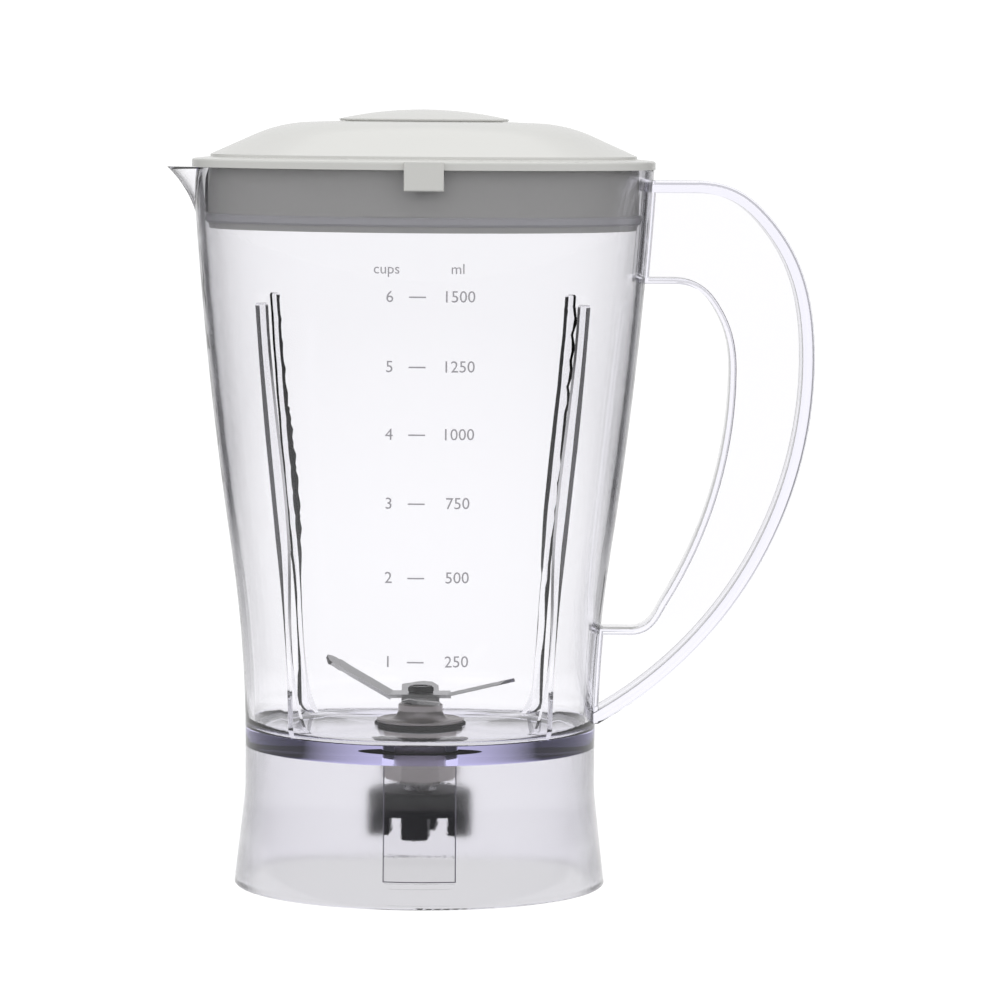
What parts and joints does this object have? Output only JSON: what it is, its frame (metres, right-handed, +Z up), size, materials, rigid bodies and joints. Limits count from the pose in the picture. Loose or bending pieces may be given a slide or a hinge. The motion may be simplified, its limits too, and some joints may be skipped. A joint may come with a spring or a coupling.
{
  "type": "countertop blender jug",
  "caption": "Clear blender jug with C-shaped handle, lift-off lid with filler cap, and a spinning blade unit driven by a coupling under the floor.",
  "frame": {"origin": "on the jug's axis at the plane that the skirt stands on", "axes": "+Z up along the jug's axis, +X towards the handle, -X towards the spout"},
  "size_m": [0.2039, 0.1494, 0.2442],
  "materials": {
    "clear_plastic": "clear, polished",
    "grey_plastic": "gloss",
    "black_plastic": "moulded",
    "washer_plastic": "moulded",
    "black_rubber": "matte",
    "pale_rubber": "matte",
    "turned_metal": "turned",
    "steel": "plain",
    "blade_steel": "satin, ground edges",
    "bronze": "sintered"
  },
  "bodies": {
    "jug": {"jug_wall": "clear_plastic", "jug_skirt": "clear_plastic", "jug_handle": "clear_plastic", "floor_seal": "black_rubber", "bearing_post": "turned_metal", "floor_washer": "black_rubber", "steel_washer": "steel", "retaining_nut": "turned_metal", "lip_seal": "black_rubber", "upper_bush": "bronze", "lower_bush": "bronze"},
    "rotor": {"drive_shaft": "steel", "blade_spacer": "steel", "blade_lower": "blade_steel", "blade_upper": "blade_steel", "lock_washer": "steel", "blade_nut": "steel", "thrust_washer": "washer_plastic", "circlip": "steel", "coupling_insert": "steel", "drive_coupling": "black_plastic"},
    "lid": {"lid": "grey_plastic", "lid_skirt": "grey_plastic", "lid_collar": "grey_plastic", "lid_seal": "pale_rubber"},
    "cap": {"filler_cap": "grey_plastic", "cap_seal": "pale_rubber"}
  },
  "joints": [
    {"name": "blade_spin", "type": "hinge", "parent": "jug", "child": "rotor", "pos_m": [0, 0, 0.045], "axis": [0, 0, 1], "continuous": true},
    {"name": "lid_lift", "type": "slide", "parent": "jug", "child": "lid", "axis": [0, 0, 1], "range_m": [0, 0.06]},
    {"name": "cap_lift", "type": "slide", "parent": "lid", "child": "cap", "axis": [0, 0, 1], "range_m": [0, 0.04]}
  ]
}
